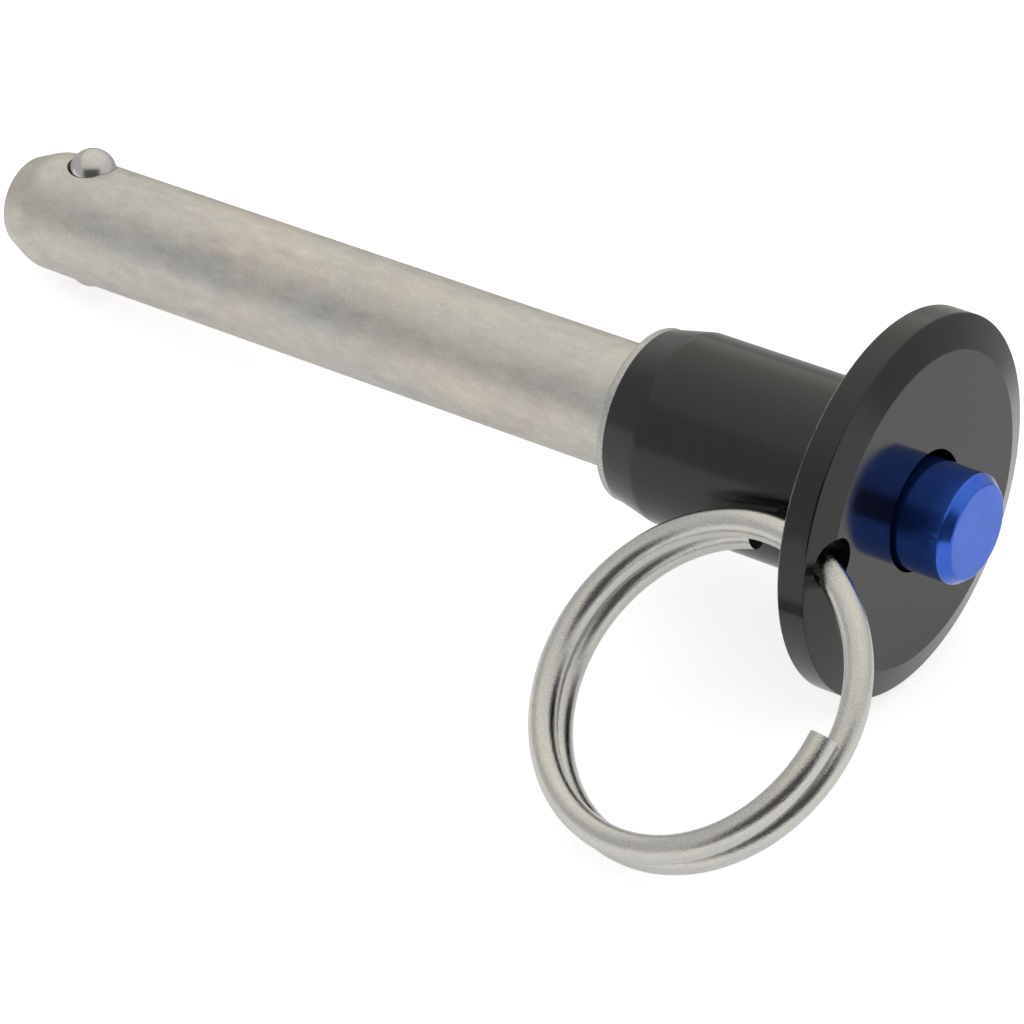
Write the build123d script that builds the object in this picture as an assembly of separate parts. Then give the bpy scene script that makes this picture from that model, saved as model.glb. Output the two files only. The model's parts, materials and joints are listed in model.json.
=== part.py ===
# Ball lock pin: a headed shank with two locking balls, a spring-loaded button and a flanged handle with a split ring.
from build123d import *

from math import asin, atan, atan2, cos, hypot, radians, sin, sqrt
import os

os.makedirs("parts", exist_ok=True)

# ---- Driving dimensions, in millimetres and degrees ----

# Shank
shank_diameter = 12.7
shank_reach = 79.8          # from the handle's lip to the tip of the nose
nose_length = 3.55          # length of the lead-in cone
nose_drop = 1.55            # what the lead-in cone takes off the radius
nose_edge_radius = 5.0      # rounds the edge where the lead-in cone begins
nose_end_radius = 0.9
head_length = 14.0          # the head that the handle holds
seat_drop = 0.25            # depth of the relief under the head, which the handle's lip fills
relief_drop = 0.03          # what the slight taper over the balls takes off the radius
relief_lead = 3.5           # from the balls' centres back to where that taper begins

# Locking balls
ball_diameter = 5.0
ball_setback = 8.45         # from the tip of the nose to the balls' centres
ball_reach = 7.7            # from the spindle's axis to the outside of a locked ball
ball_angle = 14.0           # how far the balls' line is turned about the shank from upright
ball_clearance = 0.06       # round a ball in its pocket
ball_hold = 0.02            # how much narrower than the ball its staked mouth is, on the radius
ball_sunk = 0.05            # how far a released ball lies below the shank's surface

# Spindle
spindle_play = 0.45         # how far the spindle lies off the bore's middle at the balls, towards the upper
spindle_gap = 0.08
land_length = 1.5
bore_spare = 0.7            # bore left past the spindle's end with the button pressed
tail_length = 6.5           # the spindle's tail in the button

# Button
button_diameter = 11.0
button_proud = 5.8
button_inside = 5.0
button_chamfer_width = 0.8
button_chamfer_depth = 1.0
button_edge_radius = 0.35
button_stroke = 3.5
button_gap = 0.6
button_sag = 0.35           # how far the button hangs below the middle of its bore

# Handle
handle_length = 31.8
flange_diameter = 38.1
flange_thickness = 4.0
bevel_width = 3.25
bevel_depth = 1.1
rim_edge_radius = 0.2       # between rim and bevel
face_edge_radius = 0.4      # between bevel and face
edge_break = 0.15
hub_diameter = 19.5
hub_wall = 2.05             # round the shank's head
hub_root_radius = 0.5
taper_length = 4.9
taper_drop = 0.89
taper_edge_radius = 2.0
lip_width = 0.9             # the bare rolled edge
lip_edge_radius = 0.35
lip_thickness = 1.2         # how much metal closes over the shank's head

# Ring hole in the flange
ring_hole_room = 2.25       # how much wider the hole is than the wire
ring_hole_inset = 3.55      # from the flange's rim to the hole's middle
ring_hole_angle = 75.2      # about the handle from upright
ring_hole_break = 0.25

# Return spring
spring_wire = 0.9
spring_coils = 5.0

# Split ring
ring_outer_diameter = 35.2
ring_wire = 2.75
ring_coil_gap = 0.05
ring_first_angle = 68.0     # where the coils begin and end, turned about the ring from its highest point
ring_last_angle = -35.0
ring_hole_spot_angle = -1.6 # where on the ring the flange's hole is
ring_heading_angle = 25.4   # the way the ring leans, from the pin's side towards the nose
ring_drop = 0.2             # how far the wire hangs below the middle of the hole

# ---- Sizes that follow ----

shank_radius = shank_diameter / 2
hub_radius = hub_diameter / 2
head_radius = hub_radius - hub_wall
head_end = handle_length - lip_thickness
head_start = head_end - head_length
nose_tip = handle_length + shank_reach
nose_start = nose_tip - nose_length
nose_radius = shank_radius - relief_drop
seat_radius = shank_radius - seat_drop

# A stroke of the button carries a ball down the spindle's cone from locked to just below the shank's surface.
ball_radius = ball_diameter / 2
ball_place = nose_tip - ball_setback
ball_out = ball_reach - ball_radius
ball_in = shank_radius - ball_radius - ball_sunk - spindle_play
ball_travel = ball_out - ball_in
cone_slope = ball_travel / button_stroke
cone_angle = atan(cone_slope)
spindle_radius = ball_out - ball_radius * cos(cone_angle)
cone_end = ball_place + ball_radius * sin(cone_angle)
neck_radius = ball_in - ball_radius - spindle_gap
spindle_end = cone_end + land_length
bore_radius = spindle_radius + spindle_play + spindle_gap
bore_end = spindle_end + button_stroke + bore_spare

button_radius = button_diameter / 2
button_bore_radius = button_radius + button_gap

flange_radius = flange_diameter / 2
ring_hole_radius = (ring_wire + ring_hole_room) / 2
ring_wire_radius = ring_wire / 2
ring_radius = (ring_outer_diameter - ring_wire) / 2
ring_level = ring_wire_radius + ring_coil_gap / 2

# The pin lies on the flange's rim and on the lower ball, or on the nose where that ball stands no prouder.
rim_place = flange_thickness - edge_break
low_ball_depth = (ball_out - spindle_play) * cos(radians(ball_angle))
ball_drop = flange_radius - low_ball_depth
ball_distance = ball_place - rim_place
lean_on_ball = atan(ball_drop / ball_distance) - asin(ball_radius / hypot(ball_drop, ball_distance))
lean_on_nose = atan((flange_radius - nose_radius) / (nose_start - rim_place))
lean = min(lean_on_ball, lean_on_nose)
face_height = rim_place * sin(lean) + flange_radius * cos(lean)


def turned(points):
    """The solid that a closed outline of (radius, place) points makes, turned about the axis."""
    outline = Polyline([(radius, 0, place) for radius, place in points], close=True)
    return revolve(make_face(outline), Axis.Z)


def round_edge(solid, radius, place, size):
    """Round the circular edge that has this radius at this place along the axis."""
    circles = solid.edges().filter_by(GeomType.CIRCLE)
    circles = circles.filter_by(lambda edge: abs(edge.radius - radius) < 0.001)
    return fillet(circles.filter_by(lambda edge: abs(edge.center().Z - place) < 0.001), size)


def around(radius, turn, place=0):
    """A point at a radius and a turn from upright, about the pin's axis."""
    return Vector(radius * sin(radians(turn)), radius * cos(radians(turn)), place)


# ---- The turned pieces, in the pin's own frame: Z runs from the flange's face to the nose ----

def make_handle():
    """Flange and hub in one piece, bored for the button and counterbored for the shank's head."""
    lip_start = handle_length - lip_width
    neck = hub_radius - taper_drop
    body = turned([
        (button_bore_radius, 0),
        (flange_radius - bevel_width, 0),
        (flange_radius, bevel_depth),
        (flange_radius, rim_place),
        (flange_radius - edge_break, flange_thickness),
        (hub_radius, flange_thickness),
        (hub_radius, handle_length - taper_length),
        (neck, lip_start),
        (neck, handle_length),
        (seat_radius, handle_length),
        (seat_radius, head_end),
        (head_radius, head_end),
        (head_radius, head_start),
        (button_bore_radius, head_start),
    ])
    body = round_edge(body, flange_radius, bevel_depth, rim_edge_radius)
    body = round_edge(body, flange_radius - bevel_width, 0, face_edge_radius)
    body = round_edge(body, hub_radius, flange_thickness, hub_root_radius)
    body = round_edge(body, hub_radius, handle_length - taper_length, taper_edge_radius)
    body = round_edge(body, neck, handle_length, lip_edge_radius)
    hole_middle = around(flange_radius - ring_hole_inset, ring_hole_angle, flange_thickness / 2)
    body -= Pos(hole_middle) * Cylinder(ring_hole_radius, 2 * flange_thickness)
    sink = Cone(ring_hole_radius + ring_hole_break, ring_hole_radius, ring_hole_break)
    return body - Pos(hole_middle + (0, 0, (flange_thickness - ring_hole_break) / 2)) * Rot(180, 0, 0) * sink


def make_shank():
    """Headed shank with a blind bore for the spindle and a cross hole whose mouths hold the balls."""
    end_radius = shank_radius - nose_drop
    body = turned([
        (bore_radius, head_start),
        (head_radius, head_start),
        (head_radius, head_end),
        (seat_radius, head_end),
        (seat_radius, handle_length),
        (shank_radius, handle_length),
        (shank_radius, ball_place - relief_lead),
        (nose_radius, nose_start),
        (end_radius, nose_tip),
        (0, nose_tip),
        (0, bore_end),
        (bore_radius, bore_end),
    ])
    body = round_edge(body, nose_radius, nose_start, nose_edge_radius)
    body = round_edge(body, end_radius, nose_tip, nose_end_radius)
    # A pocket is as wide as its ball up to where the locked ball is a little narrower than the mouth.
    mouth_radius = ball_radius - ball_hold
    past_ball = sqrt(ball_radius**2 - (mouth_radius - ball_hold)**2)
    pocket_reach = ball_out + spindle_play + past_ball
    across = Pos(0, 0, ball_place) * Rot(0, 0, ball_angle) * Rot(90, 0, 0)
    body -= across * Cylinder(ball_radius + ball_clearance, 2 * pocket_reach)
    return body - across * Cylinder(mouth_radius, 2 * shank_diameter)


def make_spindle():
    """Plunger rod. Its cone drives the balls out, and its neck lets them in while the button is pressed."""
    tail_end = button_inside - tail_length
    neck_start = ball_place - button_stroke - ball_radius
    return turned([
        (0, tail_end),
        (spindle_radius, tail_end),
        (spindle_radius, neck_start),
        (neck_radius, neck_start),
        (neck_radius, cone_end - (spindle_radius - neck_radius) / cone_slope),
        (spindle_radius, cone_end),
        (spindle_radius, spindle_end),
        (0, spindle_end),
    ])


def make_button():
    """Round button with a bevelled end, bored from inside for the spindle's tail."""
    tail_end = button_inside - tail_length
    face_radius = button_radius - button_chamfer_width
    chamfer_end = button_chamfer_depth - button_proud
    body = turned([
        (0, -button_proud),
        (face_radius, -button_proud),
        (button_radius, chamfer_end),
        (button_radius, button_inside),
        (spindle_radius, button_inside),
        (spindle_radius, tail_end),
        (0, tail_end),
    ])
    body = round_edge(body, face_radius, -button_proud, button_edge_radius)
    return round_edge(body, button_radius, chamfer_end, button_edge_radius)


def make_spring():
    """Compression spring with its ends ground flat, between the button and the shank's head."""
    length = head_start - button_inside
    coil_radius = (spindle_radius + button_bore_radius) / 2
    coil = Helix(pitch=length / spring_coils, height=length, radius=coil_radius)
    wire = sweep(Plane(coil @ 0, z_dir=coil % 0) * Circle(spring_wire / 2), path=coil)
    room = Cylinder(coil_radius + spring_wire, length, align=(Align.CENTER, Align.CENTER, Align.MIN))
    return Pos(0, 0, button_inside) * (wire & room)


# ---- The split ring, in its own frame: X points to its highest point, Z to its second coil ----

def crossing_level(turn):
    """Height of the single wire as it crosses from the first coil to the second, level at both ends."""
    share = (turn - ring_last_angle) / (ring_first_angle - ring_last_angle)
    return ring_level * (2 * share**2 * (3 - 2 * share) - 1)


def ring_point(turn, level):
    return Vector(ring_radius * cos(radians(turn)), ring_radius * sin(radians(turn)), level)


def ring_way(turn):
    return Vector(-sin(radians(turn)), cos(radians(turn)), 0)


def make_split_ring():
    """Round wire in nearly two flat coils, with one length of single wire between them."""
    far_side = (ring_first_angle + ring_last_angle) / 2 + 180
    steps = 6
    turns = [ring_last_angle + step / steps * (ring_first_angle - ring_last_angle) for step in range(steps + 1)]
    first_start = ring_point(ring_first_angle, -ring_level)
    second_end = ring_point(ring_last_angle, ring_level)
    crossing = [ring_point(turn, crossing_level(turn)) for turn in turns]
    path = Wire([
        ThreePointArc(first_start, ring_point(far_side, -ring_level), crossing[0]),
        Spline(crossing, tangents=[ring_way(turns[0]), ring_way(turns[-1])]),
        ThreePointArc(crossing[-1], ring_point(far_side, ring_level), second_end),
    ])
    return sweep(Plane(first_start, z_dir=ring_way(ring_first_angle)) * Circle(ring_wire_radius), path=path)


# ---- Where the pieces lie on the ground ----

def pin_frame():
    """The pin's own frame. It leans down to the nose, which points to -X."""
    return Location(Plane((0, 0, face_height), x_dir=(0, -1, 0), z_dir=(-cos(lean), 0, -sin(lean))))


def wire_in_hole():
    """Middle of the ring's wire where it goes through the flange."""
    hole_middle = around(flange_radius - ring_hole_inset, ring_hole_angle, flange_thickness / 2)
    return (pin_frame() * Pos(hole_middle)).position - (0, 0, ring_drop)


def ring_frame():
    """The ring's own frame. It leans from the flange's hole until its second coil meets the ground."""
    wire = wire_in_hole()
    hole_level = crossing_level(ring_hole_spot_angle)
    rise = ring_radius * (1 + cos(radians(ring_hole_spot_angle)))
    offset = ring_level - hole_level
    ring_lean = asin((wire.Z - ring_wire_radius) / hypot(rise, offset)) - atan2(offset, rise)
    heading = radians(ring_heading_angle)
    uphill = Vector(sin(heading) * cos(ring_lean), cos(heading) * cos(ring_lean), sin(ring_lean))
    across = Vector(cos(heading), -sin(heading), 0)
    turned_frame = Location(Plane((0, 0, 0), x_dir=uphill, z_dir=uphill.cross(across)))
    to_hole = (turned_frame * Pos(ring_point(ring_hole_spot_angle, hole_level))).position
    return Pos(wire - to_hole) * turned_frame


def slack_frame():
    """Where the sliding pieces lie in the pin's frame. They are askew by their play, low at the button."""
    high = around(spindle_play, -ball_angle, ball_place)
    way = (high - around(button_sag, 180)).normalized()
    return Location(Plane(high - way * ball_place, z_dir=way))


def make_pieces():
    """Every piece by name, with the origin in the middle of the ground that they cover."""
    pin = pin_frame()
    slack = pin * slack_frame()
    ball = Sphere(ball_radius)
    up = around(1, -ball_angle)
    balls = pin * Pos(up * spindle_play + (0, 0, ball_place))
    pieces = {
        "handle": pin * make_handle(),
        "shank": pin * make_shank(),
        "spindle": slack * make_spindle(),
        "button": slack * make_button(),
        "return_spring": pin * make_spring(),
        "ball_upper": balls * Pos(up * ball_out) * ball,
        "ball_lower": balls * Pos(up * -ball_out) * ball,
        "split_ring": ring_frame() * make_split_ring(),
    }
    box = Compound([solid for piece in pieces.values() for solid in piece.solids()]).bounding_box()
    to_origin = Pos(-box.center().X, -box.center().Y, 0)
    return {name: to_origin * piece for name, piece in pieces.items()}, to_origin


def main():
    pieces, to_origin = make_pieces()
    for name, piece in pieces.items():
        export_step(piece, f"parts/{name}.step")
        print(name, "volume", round(piece.volume, 1))
    return to_origin


to_origin = main()
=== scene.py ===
import json
from math import cos, radians, sin

import bpy
from mathutils import Matrix, Vector


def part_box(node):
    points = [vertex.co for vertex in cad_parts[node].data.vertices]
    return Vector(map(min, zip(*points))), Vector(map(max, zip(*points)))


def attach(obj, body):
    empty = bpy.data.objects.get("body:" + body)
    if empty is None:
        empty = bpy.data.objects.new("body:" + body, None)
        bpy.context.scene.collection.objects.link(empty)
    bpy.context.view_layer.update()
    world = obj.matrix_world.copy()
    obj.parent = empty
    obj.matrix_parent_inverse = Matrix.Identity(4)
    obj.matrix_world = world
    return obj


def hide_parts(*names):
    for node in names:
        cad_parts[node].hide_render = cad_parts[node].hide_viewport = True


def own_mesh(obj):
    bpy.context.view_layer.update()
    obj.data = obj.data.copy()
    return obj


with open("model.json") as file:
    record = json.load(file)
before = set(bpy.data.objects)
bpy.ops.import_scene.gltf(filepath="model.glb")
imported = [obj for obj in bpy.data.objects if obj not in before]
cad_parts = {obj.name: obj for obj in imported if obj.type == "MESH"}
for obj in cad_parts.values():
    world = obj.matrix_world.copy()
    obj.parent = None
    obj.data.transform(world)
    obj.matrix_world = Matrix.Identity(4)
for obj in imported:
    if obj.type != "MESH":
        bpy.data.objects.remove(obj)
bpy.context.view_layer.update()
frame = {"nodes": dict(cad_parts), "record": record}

mm = 0.001
record = frame["record"]
mounts = {mount["name"]: mount for mount in record["mounts"]}
joints = {joint["name"]: joint for joint in record["behaviour"]["joints"]}


# ---- Where the pin and the ring lie, read from the frame ----

def turnedTo(along, side):
    # Z runs along the first way, and X lies as near to the side way as it can
    along = Vector(along).normalized()
    side = (Vector(side) - along * along.dot(Vector(side))).normalized()
    return Matrix((side, along.cross(side), along)).transposed()


handle = {
    "length": 31.8,             # mm, from the flange's face to the lip
    "bareLip": 0.9,             # mm, width of the bare rolled edge
    "lipBlend": 0.04,           # mm, how softly the black ends at it
    "rimHighlightLine": (3.84, 18.75),   # mm along and out, the flange's back edge, where bare metal is painted as a thin highlight line
    "black": (0.004, 0.004, 0.0045),
    "worn": (0.007, 0.007, 0.0075),
    "dust": (0.030, 0.030, 0.030),
    "bare": (0.66, 0.66, 0.64),
    "bareDark": (0.40, 0.40, 0.39),
    "ior": 1.55,
    "hubRoughness": 0.16,
    "faceRoughness": 0.11,
    "bareRoughness": 0.40,
    "cloudRoughness": 0.10,     # how much the blotches add to it
    "markRoughness": (0.16, 0.04),      # what the turning marks add on the hub and on the face
    "markFineness": 6.0,
    "markDepth": 0.019,         # mm
    "faceDepth": 0.0005,
    "grainSize": 0.12,
    "grainDepth": 0.0018,
    "bareDepth": 0.05,
    "cloudSize": 5.0,
}

pinWay = Vector(joints["button_press"]["axis"]).normalized()      # points to the nose
gripMount = mounts["shank"]
faceMiddle = Vector(gripMount["pos_m"]) - pinWay * (gripMount["dims"]["length_mm"] / 2 + handle["length"]) * mm
pinTurn = turnedTo(pinWay, (0, -1, 0))

ringMount = mounts["lanyard_ring"]
ringWay = Vector(ringMount["axis"])
ringMiddle = Vector(ringMount["pos_m"])
ringTurn = turnedTo(ringWay, (0, 0, 1))

print("frame loaded, pin from", [round(v * 1000, 2) for v in faceMiddle])


# ---- The split ring, as one smooth length of wire ----

ring = {
    "radius": 16.225,      # mm, to the middle of the wire
    "wire": 1.375,         # its radius
    "level": 1.4,          # how far each coil lies from the ring's middle
    "nearEnd": 68.0,       # degrees about the ring from its highest point
    "farEnd": -35.0,
    "points": 181,
    "cutEdge": 0.10,       # the filed edge at each end
    "bright": (0.660, 0.645, 0.600),
    "plain": (0.585, 0.583, 0.570),
    "scratched": (0.46, 0.46, 0.45),
    "roughness": (0.09, 0.15),
    "grainSize": 0.15,
    "grainShade": 0.55,
    "scratchDepth": 0.002,
    "grainDepth": 0.034,
    "streakLength": 1.3,   # the smaller, the longer the streaks along the wire
    "scratchScale": 4.5,
    "bandScale": 1.4,
}


def ringSpot(turn):
    # flat coils, and one crossing that leaves the first level and eases into the second
    crossed = (turn - 360 - ring["farEnd"]) / (ring["nearEnd"] - ring["farEnd"])
    crossed = min(max(crossed, 0.0), 1.0)
    level = ring["level"] * (2 * crossed * crossed * (3 - 2 * crossed) - 1)
    angle = radians(turn)
    return ringMiddle + ringTurn @ Vector((ring["radius"] * cos(angle), ring["radius"] * sin(angle), level)) * mm


def makeSplitRing():
    bpy.ops.object.select_all(action="DESELECT")
    bpy.ops.curve.primitive_nurbs_path_add(location=(0, 0, 0))
    wire = bpy.context.object
    wire.name = "splitRing"
    wire.data.splines.clear()
    line = wire.data.splines.new("NURBS")
    line.points.add(ring["points"] - 1)
    whole = 720 + ring["farEnd"] - ring["nearEnd"]
    for index, point in enumerate(line.points):
        point.co = (*ringSpot(ring["nearEnd"] + whole * index / (ring["points"] - 1)), 1)
    line.order_u = 4
    line.use_endpoint_u = True
    line.resolution_u = 2
    wire.data.bevel_depth = ring["wire"] * mm
    wire.data.bevel_resolution = 12
    wire.data.use_fill_caps = True
    bpy.ops.object.convert(target="MESH")
    bpy.ops.object.mode_set(mode="EDIT")
    bpy.ops.mesh.select_all(action="SELECT")
    bpy.ops.mesh.remove_doubles(threshold=0.00001)
    bpy.ops.mesh.normals_make_consistent(inside=False)
    bpy.ops.mesh.select_all(action="DESELECT")
    bpy.ops.mesh.select_mode(type="FACE")
    bpy.ops.mesh.select_face_by_sides(number=4, type="GREATER")
    bpy.ops.mesh.bevel(offset=ring["cutEdge"] * mm, segments=2, affect="EDGES")
    bpy.ops.object.mode_set(mode="OBJECT")
    bpy.ops.object.shade_smooth_by_angle(angle=radians(35))
    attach(wire, "ring")
    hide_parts("split_ring")
    return wire


splitRing = makeSplitRing()
print("split ring made,", len(splitRing.data.polygons), "faces")


# ---- The return spring gets a mesh of its own ----

returnSpring = frame["nodes"]["return_spring"]
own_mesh(returnSpring)


# ---- Small helpers for node trees ----

class Tree:
    def __init__(self, tree):
        self.tree = tree

    def add(self, kind, values=None, **settings):
        node = self.tree.nodes.new(kind)
        for key, value in settings.items():
            setattr(node, key, value)
        for key, value in (values or {}).items():
            self.put(node.inputs[key], value)
        return node

    def put(self, socket, value):
        if isinstance(value, bpy.types.NodeSocket):
            self.tree.links.new(value, socket)
        elif isinstance(value, tuple) and socket.type == "RGBA" and len(value) == 3:
            socket.default_value = (*value, 1)
        else:
            socket.default_value = value

    def math(self, operation, a, b=0.0, c=0.0):
        return self.add("ShaderNodeMath", {0: a, 1: b, 2: c}, operation=operation).outputs[0]

    def mapped(self, value, fromLow, fromHigh, toLow, toHigh, smooth=False):
        kind = "SMOOTHSTEP" if smooth else "LINEAR"
        node = self.add("ShaderNodeMapRange", {0: value, 1: fromLow, 2: fromHigh, 3: toLow, 4: toHigh},
                        interpolation_type=kind)
        return node.outputs[0]

    def mixed(self, share, a, b):
        node = self.add("ShaderNodeMix", data_type="RGBA")
        self.put(node.inputs[0], share)
        self.put(node.inputs[6], a)
        self.put(node.inputs[7], b)
        return node.outputs[2]

    def blended(self, share, a, b):
        node = self.add("ShaderNodeMix", data_type="FLOAT")
        self.put(node.inputs[0], share)
        self.put(node.inputs[2], a)
        self.put(node.inputs[3], b)
        return node.outputs[0]

    def noise(self, vector, scale, detail=2.0, roughness=0.5, fourth=0.0):
        return self.add("ShaderNodeTexNoise", {"Vector": vector, "W": fourth, "Scale": scale, "Detail": detail,
                                               "Roughness": roughness}, noise_dimensions="4D").outputs[0]

    def shaded(self, colour, change):
        # a change of 0.1 makes the colour a tenth brighter
        return self.add("ShaderNodeHueSaturation", {"Color": colour, "Value": self.math("ADD", change, 1.0)}).outputs[0]

    def vector(self, x=0.0, y=0.0, z=0.0):
        return self.add("ShaderNodeCombineXYZ", {0: x, 1: y, 2: z}).outputs[0]

    def use(self, group, values=None):
        node = self.add("ShaderNodeGroup", node_tree=group)
        for key, value in (values or {}).items():
            self.put(node.inputs[key], value)
        return node.outputs


def newGroup(name, inputs, outputs):
    group = bpy.data.node_groups.new(name, "ShaderNodeTree")
    for label, kind, value in inputs:
        socket = group.interface.new_socket(label, in_out="INPUT", socket_type=kind)
        if value is not None:
            socket.default_value = value
    for label, kind in outputs:
        group.interface.new_socket(label, in_out="OUTPUT", socket_type=kind)
    tree = Tree(group)
    return group, tree, tree.add("NodeGroupInput").outputs, tree.add("NodeGroupOutput").inputs


number, arrow = "NodeSocketFloat", "NodeSocketVector"


# ---- Effects that several finishes use ----

def makePlace(name, middle, turn):
    # millimetres along the axis, out from it, and the turn about it
    group, tree, given, result = newGroup(name, [], [
        ("Place", arrow), ("Along", number), ("Out", number), ("Turn", number)])
    coordinates = tree.add("ShaderNodeTexCoord").outputs["Object"]
    placed = tree.add("ShaderNodeMapping", {"Vector": coordinates}, vector_type="TEXTURE")
    placed.inputs["Location"].default_value = middle
    placed.inputs["Rotation"].default_value = turn.to_euler()
    placed.inputs["Scale"].default_value = (mm, mm, mm)
    split = tree.add("ShaderNodeSeparateXYZ", {0: placed.outputs[0]}).outputs
    flat = tree.vector(split[0], split[1])
    out = tree.add("ShaderNodeVectorMath", {0: flat}, operation="LENGTH").outputs["Value"]
    tree.put(result["Place"], placed.outputs[0])
    tree.put(result["Along"], split[2])
    tree.put(result["Out"], out)
    tree.put(result["Turn"], tree.math("ARCTAN2", split[1], split[0]))
    return group


def makeTurningMarks():
    # rings left by the tool: they change along the axis and outwards, and hardly round it
    group, tree, given, result = newGroup("turningMarks", [
        ("Along", number, None), ("Out", number, None), ("Turn", number, None),
        ("Fineness", number, 9.0), ("Patchiness", number, 0.5)], [("Marks", number), ("Patches", number)])
    drift = tree.math("MULTIPLY", tree.math("SINE", given["Turn"]), 0.02)
    spot = tree.vector(tree.math("ADD", given["Along"], drift), given["Out"], 0.0)
    fine = tree.noise(spot, given["Fineness"], 3.0, 0.65)
    wide = tree.noise(spot, tree.math("MULTIPLY", given["Fineness"], 0.16), 2.0, 0.5)
    marks = tree.math("ADD", tree.math("MULTIPLY", fine, 0.6), tree.math("MULTIPLY", wide, 0.4))
    around = tree.vector(tree.math("SINE", given["Turn"]), tree.math("COSINE", given["Turn"]), given["Along"])
    patches = tree.noise(around, 0.9, 3.0, 0.6)
    strength = tree.blended(given["Patchiness"], 1.0, tree.mapped(patches, 0.35, 0.65, 0.2, 1.0))
    centred = tree.math("SUBTRACT", marks, 0.5)
    tree.put(result["Marks"], tree.math("MULTIPLY", centred, strength))
    tree.put(result["Patches"], patches)
    return group


def makeGrain():
    # fine even roughness of a tumbled or drawn surface
    group, tree, given, result = newGroup("grain", [("Place", arrow, None), ("Size", number, 0.1)],
                                          [("Grain", number), ("Specks", number)])
    scale = tree.math("DIVIDE", 1.0, given["Size"])
    fine = tree.noise(given["Place"], scale, 2.0, 0.6)
    specks = tree.noise(given["Place"], tree.math("MULTIPLY", scale, 0.45), 3.0, 0.7)
    tree.put(result["Grain"], tree.math("SUBTRACT", fine, 0.5))
    tree.put(result["Specks"], tree.mapped(specks, 0.56, 0.72, 0.0, 1.0, smooth=True))
    return group


def makeClouds():
    # soft blotches drawn out along the axis, and a finer mottle inside them, both about 0
    group, tree, given, result = newGroup("clouds", [
        ("Place", arrow, None), ("Size", number, 4.0), ("Stretch", number, 2.0)],
        [("Clouds", number), ("Mottle", number), ("Tint", number)])
    split = tree.add("ShaderNodeSeparateXYZ", {0: given["Place"]}).outputs
    drawn = tree.vector(split[0], split[1], tree.math("DIVIDE", split[2], given["Stretch"]))
    scale = tree.math("DIVIDE", 1.0, given["Size"])
    clouds = tree.noise(drawn, scale, 4.0, 0.62)
    mottle = tree.noise(drawn, tree.math("MULTIPLY", scale, 5.0), 4.0, 0.68)
    moved = tree.add("ShaderNodeVectorMath", {0: drawn, 1: (31.0, 17.0, 5.0)}, operation="ADD").outputs[0]
    tint = tree.noise(moved, tree.math("MULTIPLY", scale, 0.8), 4.0, 0.6)
    tree.put(result["Clouds"], tree.math("SUBTRACT", clouds, 0.5))
    tree.put(result["Mottle"], tree.math("SUBTRACT", mottle, 0.5))
    tree.put(result["Tint"], tree.math("SUBTRACT", tint, 0.5))
    return group


def makePocketShade(ballMiddle, slideWay):
    # masks for painted shade: the first is 1 in the narrow gap at the nose side of a ball's pocket, the second 1 along
    # the lip pressed round it
    group, tree, given, result = newGroup("pocketShade", [
        ("Shift", number, 0.3), ("Radius", number, 2.6), ("Lip", number, 3.2)], [("GapShadeMask", number), ("Pressed", number)])
    coordinates = tree.add("ShaderNodeTexCoord").outputs["Object"]
    fromBall = tree.add("ShaderNodeVectorMath", {0: coordinates, 1: tuple(ballMiddle)}, operation="SUBTRACT").outputs[0]
    inMm = tree.add("ShaderNodeVectorMath", {0: fromBall, "Scale": 1 / mm}, operation="SCALE").outputs[0]

    def awayFrom(point):
        away = tree.add("ShaderNodeVectorMath", {0: point, 1: tuple(slideWay)}, operation="CROSS_PRODUCT").outputs[0]
        return tree.add("ShaderNodeVectorMath", {0: away}, operation="LENGTH").outputs["Value"]

    # the hole round the ball, a little nearer the nose than the ball
    noseWard = tree.add("ShaderNodeVectorMath", {0: tuple(pinWay), "Scale": given["Shift"]}, operation="SCALE")
    moved = tree.add("ShaderNodeVectorMath", {0: inMm, 1: noseWard.outputs[0]}, operation="SUBTRACT").outputs[0]
    inside = tree.math("SUBTRACT", given["Radius"], awayFrom(moved))
    tree.put(result["GapShadeMask"], tree.mapped(inside, -0.05, 0.07, 0.0, 1.0, smooth=True))
    offLip = tree.math("ABSOLUTE", tree.math("SUBTRACT", awayFrom(inMm), given["Lip"]))
    tree.put(result["Pressed"], tree.mapped(offLip, 0.0, 0.16, 1.0, 0.0, smooth=True))
    return group


pinPlace = makePlace("pinPlace", faceMiddle, pinTurn)
ringPlace = makePlace("ringPlace", ringMiddle, ringTurn)
turningMarks = makeTurningMarks()
grain = makeGrain()
clouds = makeClouds()
ballBox = [Vector(corner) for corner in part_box("ball_upper")]
slideWay = Vector(joints["ball_upper_slide"]["axis"]).normalized()
pocketShade = makePocketShade((ballBox[0] + ballBox[1]) / 2, slideWay)
print("shared effects built")


# ---- Finishes ----

def newFinish(name):
    material = bpy.data.materials.new(name)
    material.use_nodes = True
    material.node_tree.nodes.clear()
    tree = Tree(material.node_tree)
    shader = tree.add("ShaderNodeBsdfPrincipled")
    output = tree.add("ShaderNodeOutputMaterial")
    tree.put(output.inputs["Surface"], shader.outputs[0])
    return material, tree, shader


def bumped(tree, shader, height, depth):
    # depth is in metres
    bump = tree.add("ShaderNodeBump", {"Height": height, "Distance": depth, "Strength": 1.0})
    tree.put(shader.inputs["Normal"], bump.outputs[0])


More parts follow.
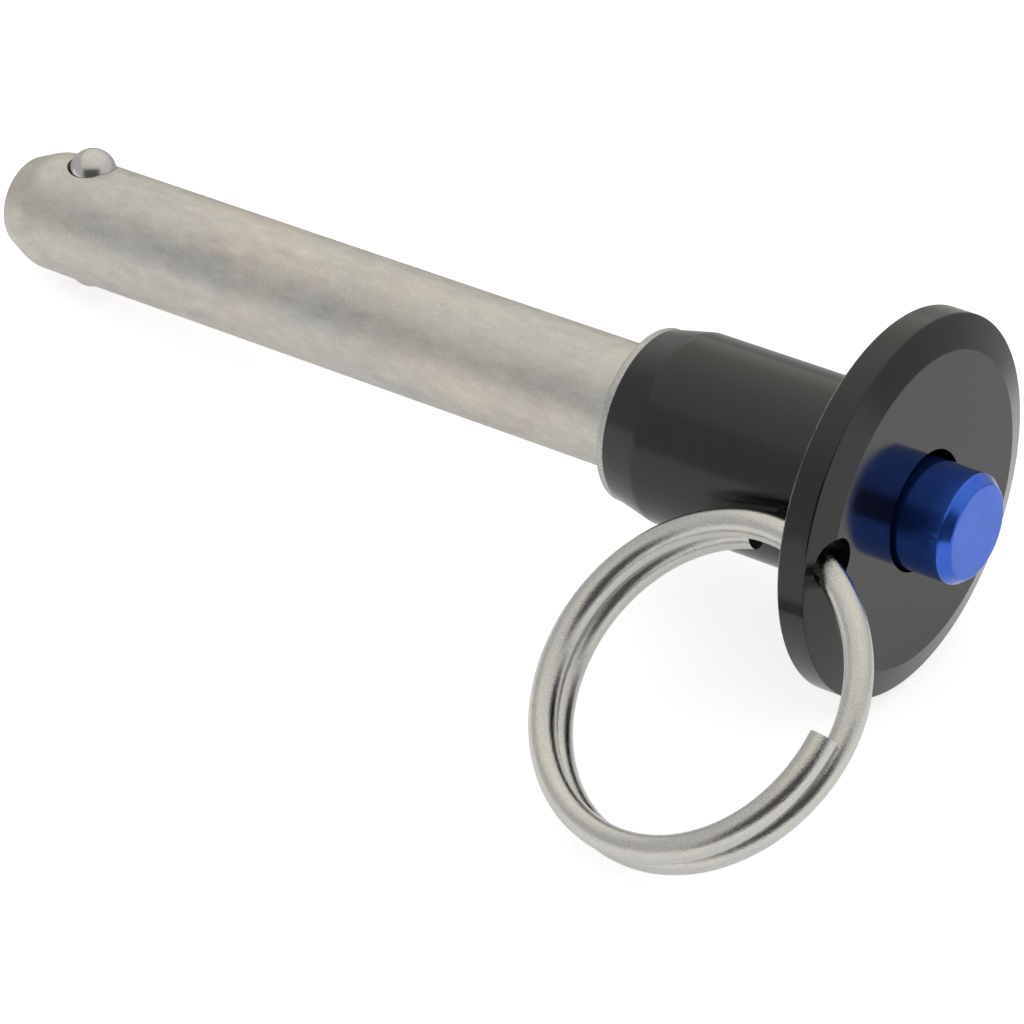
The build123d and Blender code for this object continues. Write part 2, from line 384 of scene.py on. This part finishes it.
def blackAnodised():
    material, tree, shader = newFinish("blackAnodised")
    place = tree.use(pinPlace)
    marks = tree.use(turningMarks, {"Along": place["Along"], "Out": place["Out"], "Turn": place["Turn"],
                                    "Fineness": handle["markFineness"], "Patchiness": 0.6})
    fine = tree.use(grain, {"Place": place["Place"], "Size": handle["grainSize"]})
    spots = tree.use(clouds, {"Place": place["Place"], "Size": handle["cloudSize"], "Stretch": 1.0})

    # bare metal on the rolled lip, where the edge of the black is a little uneven, and as a painted highlight in a thin
    # line along the flange's back rim edge
    lipStart = handle["length"] - handle["bareLip"]
    blend = handle["lipBlend"]
    edge = tree.math("ADD", place["Along"], tree.math("MULTIPLY", fine["Grain"], 0.12))
    bare = tree.mapped(edge, lipStart - blend, lipStart + blend, 0.0, 1.0)
    # painted highlight: a thin, broken line of bare metal along the flange's back edge
    lineAlong, lineOut = handle["rimHighlightLine"]
    onEdge = tree.math("MULTIPLY", tree.mapped(place["Along"], lineAlong - 0.03, lineAlong + 0.02, 0.0, 1.0),
                       tree.mapped(place["Out"], lineOut - 0.03, lineOut + 0.05, 0.0, 1.0))
    onEdge = tree.math("MULTIPLY", onEdge, tree.mapped(spots["Mottle"], -0.12, 0.06, 0.1, 0.7))
    bare = tree.math("MAXIMUM", bare, onEdge)
    black = tree.mixed(tree.mapped(marks["Patches"], 0.35, 0.75, 0.0, 1.0), handle["black"], handle["worn"])
    dusty = tree.math("MULTIPLY", fine["Specks"], tree.mapped(spots["Clouds"], -0.10, 0.12, 0.1, 0.8))
    black = tree.mixed(dusty, black, handle["dust"])
    silver = tree.mixed(tree.mapped(fine["Grain"], -0.12, 0.12, 0.0, 1.0), handle["bareDark"], handle["bare"])
    tree.put(shader.inputs["Base Color"], tree.mixed(bare, black, silver))

    # the flange's face is smoother than the turned hub
    onFace = tree.math("LESS_THAN", place["Along"], 0.05)
    smooth = tree.blended(onFace, handle["hubRoughness"], handle["faceRoughness"])
    uneven = tree.math("ADD", smooth, tree.math("MULTIPLY", spots["Clouds"], handle["cloudRoughness"]))
    markRoughness = tree.blended(onFace, *handle["markRoughness"])
    uneven = tree.math("ADD", uneven, tree.math("MULTIPLY", marks["Marks"], markRoughness))
    tree.put(shader.inputs["Roughness"], tree.blended(bare, uneven, handle["bareRoughness"]))
    tree.put(shader.inputs["Metallic"], bare)
    shader.inputs["IOR"].default_value = handle["ior"]
    turnDepth = tree.blended(onFace, handle["markDepth"], handle["faceDepth"])
    roughDepth = tree.blended(bare, handle["grainDepth"], handle["bareDepth"])
    height = tree.math("ADD", tree.math("MULTIPLY", marks["Marks"], turnDepth),
                       tree.math("MULTIPLY", fine["Grain"], roughDepth))
    bumped(tree, shader, height, mm)
    return material


button = {
    "blue": (0.034, 0.128, 0.67),
    "light": (0.050, 0.160, 0.76),
    "metallic": 0.9,
    "roughness": (0.17, 0.25),
    "coat": 0.25,
    "coatRoughness": 0.06,
    "markFineness": 9.0,
    "markDepth": 0.0016,   # mm
    "grainSize": 0.08,
    "grainShade": 0.10,
    "grainDepth": 0.0012,
    "cloudSize": 3.0,
}


def blueAnodised():
    material, tree, shader = newFinish("blueAnodised")
    place = tree.use(pinPlace)
    marks = tree.use(turningMarks, {"Along": place["Along"], "Out": place["Out"], "Turn": place["Turn"],
                                    "Fineness": button["markFineness"], "Patchiness": 0.4})
    fine = tree.use(grain, {"Place": place["Place"], "Size": button["grainSize"]})
    spots = tree.use(clouds, {"Place": place["Place"], "Size": button["cloudSize"], "Stretch": 1.0})
    blue = tree.mixed(tree.mapped(spots["Clouds"], -0.2, 0.2, 0.0, 1.0), button["blue"], button["light"])
    tree.put(shader.inputs["Base Color"], tree.shaded(blue, tree.math("MULTIPLY", fine["Grain"], button["grainShade"])))
    shader.inputs["Metallic"].default_value = button["metallic"]
    low, high = button["roughness"]
    tree.put(shader.inputs["Roughness"], tree.mapped(spots["Mottle"], -0.2, 0.2, low, high))
    shader.inputs["Coat Weight"].default_value = button["coat"]
    shader.inputs["Coat Roughness"].default_value = button["coatRoughness"]
    height = tree.math("ADD", tree.math("MULTIPLY", marks["Marks"], button["markDepth"]),
                       tree.math("MULTIPLY", fine["Grain"], button["grainDepth"]))
    bumped(tree, shader, height, mm)
    return material


shank = {
    "steel": (0.600, 0.585, 0.555),
    "warm": (0.650, 0.602, 0.545),
    "cool": (0.530, 0.532, 0.518),
    # painted shade: the dark colour painted into the narrow gap beside each ball
    "gapShadeColour": (0.03, 0.03, 0.028),
    "roughness": (0.39, 0.47),
    "cloudSize": 6.0,      # mm
    "cloudStretch": 2.2,   # longer than wide, along the pin
    "cloudShade": 0.22,    # how much the blotches change the brightness
    "mottleShade": 0.60,
    "grainSize": 0.22,     # mm
    "grainShade": 0.40,
    "markDepth": 0.0014,   # mm
    "grainDepth": 0.0045,
    "markFineness": 5.0,
    "pocket": {"Shift": 0.17, "Radius": 2.60, "Lip": 3.2},      # mm, the hole round a ball and its pressed lip
    # painted shade: how much the pressed lip's crease is darkened
    "pressedShade": -0.07,
}


def satinStainless(name, withPockets):
    material, tree, shader = newFinish(name)
    place = tree.use(pinPlace)
    marks = tree.use(turningMarks, {"Along": place["Along"], "Out": place["Out"], "Turn": place["Turn"],
                                    "Fineness": shank["markFineness"], "Patchiness": 0.7})
    fine = tree.use(grain, {"Place": place["Place"], "Size": shank["grainSize"]})
    spots = tree.use(clouds, {"Place": place["Place"], "Size": shank["cloudSize"],
                              "Stretch": shank["cloudStretch"]})
    warm = tree.mapped(spots["Tint"], -0.10, 0.16, 0.0, 1.0, smooth=True)
    cool = tree.mapped(spots["Clouds"], 0.02, 0.22, 0.0, 0.7, smooth=True)
    steel = tree.mixed(cool, tree.mixed(warm, shank["steel"], shank["warm"]), shank["cool"])
    shade = tree.math("ADD", tree.math("MULTIPLY", spots["Clouds"], -shank["cloudShade"]),
                      tree.math("MULTIPLY", spots["Mottle"], shank["mottleShade"]))
    shade = tree.math("ADD", shade, tree.math("MULTIPLY", fine["Grain"], shank["grainShade"]))
    colouring = tree.shaded(steel, shade)
    if withPockets:
        # painted shade: a dark colour in the gap at the nose side of each ball's pocket, and a slight darkening along
        # the pressed lip round it
        pocket = tree.use(pocketShade, shank["pocket"])
        colouring = tree.shaded(colouring, tree.math("MULTIPLY", pocket["Pressed"], shank["pressedShade"]))
        colouring = tree.mixed(pocket["GapShadeMask"], colouring, shank["gapShadeColour"])
    tree.put(shader.inputs["Base Color"], colouring)
    shader.inputs["Metallic"].default_value = 1.0
    low, high = shank["roughness"]
    rough = tree.mapped(spots["Mottle"], -0.2, 0.2, low, high)
    tree.put(shader.inputs["Roughness"], tree.math("ADD", rough, tree.math("MULTIPLY", fine["Grain"], 0.10)))
    height = tree.math("ADD", tree.math("MULTIPLY", marks["Marks"], shank["markDepth"]),
                       tree.math("MULTIPLY", fine["Grain"], shank["grainDepth"]))
    bumped(tree, shader, height, mm)
    return material


ball = {
    "steel": (0.60, 0.595, 0.575),
    "speck": (0.50, 0.50, 0.49),
    "roughness": (0.19, 0.26),
    "speckSize": 0.35,     # mm
    "cloudSize": 2.0,
    "mottleShade": 0.18,
}


def polishedBall():
    material, tree, shader = newFinish("polishedBall")
    place = tree.use(pinPlace)
    fine = tree.use(grain, {"Place": place["Place"], "Size": ball["speckSize"]})
    spots = tree.use(clouds, {"Place": place["Place"], "Size": ball["cloudSize"], "Stretch": 1.0})
    steel = tree.shaded(ball["steel"], tree.math("MULTIPLY", spots["Mottle"], ball["mottleShade"]))
    tree.put(shader.inputs["Base Color"], tree.mixed(fine["Specks"], steel, ball["speck"]))
    shader.inputs["Metallic"].default_value = 1.0
    low, high = ball["roughness"]
    tree.put(shader.inputs["Roughness"], tree.mapped(spots["Mottle"], -0.25, 0.25, low, high))
    return material


def drawnWire():
    material, tree, shader = newFinish("drawnWire")
    place = tree.use(ringPlace)
    # the height within the wire, so that the streaks follow it over the crossing
    start, end = radians(ring["farEnd"]), radians(ring["nearEnd"])
    crossing = tree.mapped(place["Turn"], start, end, -ring["level"], ring["level"], smooth=True)
    onCoils = tree.math("MULTIPLY", tree.math("SIGN", place["Along"]), ring["level"])
    onCrossing = tree.math("MULTIPLY", tree.math("GREATER_THAN", place["Turn"], start),
                           tree.math("LESS_THAN", place["Turn"], end))
    inWire = tree.math("SUBTRACT", place["Along"], tree.blended(onCrossing, onCoils, crossing))
    nearSide = tree.math("MULTIPLY", tree.math("SINE", place["Turn"]), ring["streakLength"])
    farSide = tree.math("MULTIPLY", tree.math("COSINE", place["Turn"]), ring["streakLength"])
    lengthwise = tree.vector(place["Out"], inWire, nearSide)
    scratches = tree.noise(lengthwise, ring["scratchScale"], 4.0, 0.68, fourth=farSide)
    bands = tree.noise(lengthwise, ring["bandScale"], 2.0, 0.5, fourth=farSide)
    fine = tree.use(grain, {"Place": place["Place"], "Size": ring["grainSize"]})
    dark = tree.mapped(scratches, 0.54, 0.74, 0.0, 0.6, smooth=True)
    steel = tree.mixed(tree.mapped(bands, 0.35, 0.65, 0.0, 1.0), ring["bright"], ring["plain"])
    steel = tree.shaded(steel, tree.math("MULTIPLY", fine["Grain"], ring["grainShade"]))
    tree.put(shader.inputs["Base Color"], tree.mixed(dark, steel, ring["scratched"]))
    shader.inputs["Metallic"].default_value = 1.0
    low, high = ring["roughness"]
    rough = tree.mapped(scratches, 0.3, 0.7, low, high)
    tree.put(shader.inputs["Roughness"], tree.math("ADD", rough, tree.math("MULTIPLY", fine["Specks"], 0.10)))
    height = tree.math("ADD", tree.math("MULTIPLY", scratches, ring["scratchDepth"]),
                       tree.math("MULTIPLY", fine["Grain"], ring["grainDepth"]))
    bumped(tree, shader, height, mm)
    return material


spring = {
    "steel": (0.42, 0.41, 0.40),
    "speck": (0.30, 0.29, 0.28),
    "roughness": (0.25, 0.4),
    "grainSize": 0.1,      # mm
}


def springSteel():
    material, tree, shader = newFinish("springSteel")
    place = tree.use(pinPlace)
    fine = tree.use(grain, {"Place": place["Place"], "Size": spring["grainSize"]})
    tree.put(shader.inputs["Base Color"], tree.mixed(fine["Specks"], spring["steel"], spring["speck"]))
    shader.inputs["Metallic"].default_value = 1.0
    tree.put(shader.inputs["Roughness"], tree.mapped(fine["Grain"], -0.2, 0.2, *spring["roughness"]))
    return material


finishes = {
    "handle": blackAnodised(),
    "shank": satinStainless("satinStainless", True),
    "spindle": satinStainless("spindleSteel", False),
    "button": blueAnodised(),
    "return_spring": springSteel(),
    "ball_upper": polishedBall(),
    "splitRing": drawnWire(),
}
finishes["ball_lower"] = finishes["ball_upper"]
for node, finish in finishes.items():
    for piece in [found for found in bpy.data.objects if found.type == "MESH" and found.name == node]:
        piece.data.materials.clear()
        piece.data.materials.append(finish)
print("finishes on", len(finishes), "pieces")


# ---- Floor, light and camera ----

studio = {
    "floorSize": 6.0,              # metres
    "floorColour": 0.64,
    "floorWhite": 0.75,            # added where the camera sees the floor
    "floorMirrored": 0.47,         # added where metal mirrors the floor
    "mirrorFade": (0.034, 0.050),  # metres behind the pin, where that grows less
    "mirrorSlant": 0.4,            # that line's slope
    "mirrorLeft": 0.1,             # and what share is left beyond it
    "towardsRight": (0.8096, 0.5870, 0.0),
    "away": (-0.5870, 0.8096, 0.0),
    "panelEdges": (-1.13, 1.6, -0.76),  # left, right and near edge of the white ceiling, over its height
    "panelNear": 0.76,
    "panelFar": 0.90,
    "panelEnd": 0.9,               # how far off it reaches its far brightness
    "panelSoft": (0.15, 0.2),      # soft edge at the left, and at the right and near side
    "panelTint": (1.0, 0.98, 0.91),
    "leftWall": 0.58,
    "rightWall": 0.74,
    "wallTint": (0.99, 0.995, 1.0),
    "cameraDark": 0.10,            # the dark room round the camera, as the metal mirrors it
    "darkAcross": (-0.69, 0.60),
    "darkHeight": 0.16,
    "darkSoft": 0.1,
    "lampSize": 1.2,
    "lampPower": 0.35,
    "lampSpot": (-0.10, 0.35, 0.95),
    "cameraSpot": (0.2135188, -0.2792290, 0.3104023),
    "cameraAhead": (-0.4406577, 0.6078900, -0.6605229),
    "cameraUp": (-0.3877957, 0.5347009, 0.7508059),
    "lens": 164.94,
}


def makeFloor():
    bpy.ops.object.select_all(action="DESELECT")
    bpy.ops.mesh.primitive_plane_add(size=studio["floorSize"])
    floor = bpy.context.object
    floor.name = "studio_floor"
    material = bpy.data.materials.new("floorPaper")
    material.use_nodes = True
    material.node_tree.nodes.clear()
    tree = Tree(material.node_tree)
    grey = studio["floorColour"]
    paper = tree.add("ShaderNodeBsdfDiffuse", {"Color": (grey, grey, grey)})
    path = tree.add("ShaderNodeLightPath").outputs
    mirrored = tree.math("MAXIMUM", path["Is Glossy Ray"], path["Is Transmission Ray"])
    spot = tree.add("ShaderNodeSeparateXYZ", {0: tree.add("ShaderNodeTexCoord").outputs["Object"]}).outputs
    behind = tree.math("SUBTRACT", spot[1], tree.math("MULTIPLY", spot[0], studio["mirrorSlant"]))
    fade = tree.mapped(behind, *studio["mirrorFade"], 1.0, studio["mirrorLeft"], smooth=True)
    mirrored = tree.math("MULTIPLY", mirrored, fade)
    strength = tree.math("ADD", tree.math("MULTIPLY", path["Is Camera Ray"], studio["floorWhite"]),
                         tree.math("MULTIPLY", mirrored, studio["floorMirrored"]))
    lift = tree.add("ShaderNodeEmission", {"Color": (1.0, 1.0, 1.0), "Strength": strength})
    both = tree.add("ShaderNodeAddShader")
    tree.put(both.inputs[0], paper.outputs[0])
    tree.put(both.inputs[1], lift.outputs[0])
    output = tree.add("ShaderNodeOutputMaterial")
    tree.put(output.inputs["Surface"], both.outputs[0])
    floor.data.materials.append(material)


def makeWorld():
    world = bpy.data.worlds.new("studio")
    bpy.context.scene.world = world
    world.use_nodes = True
    world.node_tree.nodes.clear()
    tree = Tree(world.node_tree)
    direction = tree.add("ShaderNodeTexCoord").outputs["Generated"]

    def share(way):
        return tree.add("ShaderNodeVectorMath", {0: direction, 1: tuple(way)}, operation="DOT_PRODUCT").outputs["Value"]

    up = tree.math("MAXIMUM", share((0, 0, 1)), 0.02)
    rightward = share(studio["towardsRight"])
    across = tree.math("DIVIDE", rightward, up)
    depth = tree.math("DIVIDE", share(studio["away"]), up)
    left, right, near = studio["panelEdges"]
    softLeft, soft = studio["panelSoft"]
    onPanel = tree.math("MULTIPLY", tree.mapped(across, left - softLeft, left + softLeft, 0.0, 1.0, smooth=True),
                        tree.mapped(across, right - soft, right + soft, 1.0, 0.0, smooth=True))
    onPanel = tree.math("MULTIPLY", onPanel, tree.mapped(depth, near - soft, near + soft, 0.0, 1.0, smooth=True))
    panel = tree.mapped(depth, near, studio["panelEnd"], studio["panelNear"], studio["panelFar"])
    wall = tree.mapped(rightward, -0.8, 0.8, studio["leftWall"], studio["rightWall"])
    level = tree.blended(onPanel, wall, panel)
    darkLeft, darkRight = studio["darkAcross"]
    soft = studio["darkSoft"]
    dark = tree.math("MULTIPLY", tree.mapped(rightward, darkLeft - soft, darkLeft + soft, 0.0, 1.0, smooth=True),
                     tree.mapped(rightward, darkRight - soft, darkRight + soft, 1.0, 0.0, smooth=True))
    height = share(studio["cameraUp"])
    darkTop = studio["darkHeight"]
    dark = tree.math("MULTIPLY", dark, tree.mapped(height, darkTop - 0.14, darkTop + soft, 1.0, 0.0, smooth=True))
    ahead = share(studio["cameraAhead"])
    dark = tree.math("MULTIPLY", dark, tree.mapped(ahead, -0.35, -0.15, 1.0, 0.0, smooth=True))
    level = tree.blended(dark, level, studio["cameraDark"])
    seen = tree.add("ShaderNodeLightPath").outputs["Is Camera Ray"]
    tint = tree.mixed(seen, tree.mixed(onPanel, studio["wallTint"], studio["panelTint"]), (1.0, 1.0, 1.0))
    background = tree.add("ShaderNodeBackground", {"Color": tint, "Strength": tree.blended(seen, level, 1.0)})
    output = tree.add("ShaderNodeOutputWorld")
    tree.put(output.inputs["Surface"], background.outputs[0])


def makeLight(name, spot, aim, size, power):
    bpy.ops.object.select_all(action="DESELECT")
    bpy.ops.object.light_add(type="AREA", location=spot)
    lamp = bpy.context.object
    lamp.name = name
    lamp.data.shape = "SQUARE"
    lamp.data.size = size
    lamp.data.energy = power
    lamp.rotation_euler = (Vector(aim) - Vector(spot)).to_track_quat("-Z", "Y").to_euler()
    return lamp


def makeCamera():
    bpy.ops.object.camera_add(location=studio["cameraSpot"])
    camera = bpy.context.object
    ahead = Vector(studio["cameraAhead"]).normalized()
    up = Vector(studio["cameraUp"])
    right = ahead.cross(up).normalized()
    camera.rotation_euler = Matrix((right, right.cross(ahead), -ahead)).transposed().to_euler()
    camera.data.sensor_width = 36
    camera.data.lens = studio["lens"]
    camera.data.clip_start = 0.01
    bpy.context.scene.camera = camera


makeFloor()
makeWorld()
makeLight("softLamp", studio["lampSpot"], (0, 0, 0.01), studio["lampSize"], studio["lampPower"])
makeCamera()
bpy.context.scene.view_settings.view_transform = "Standard"
print("floor, light and camera set")
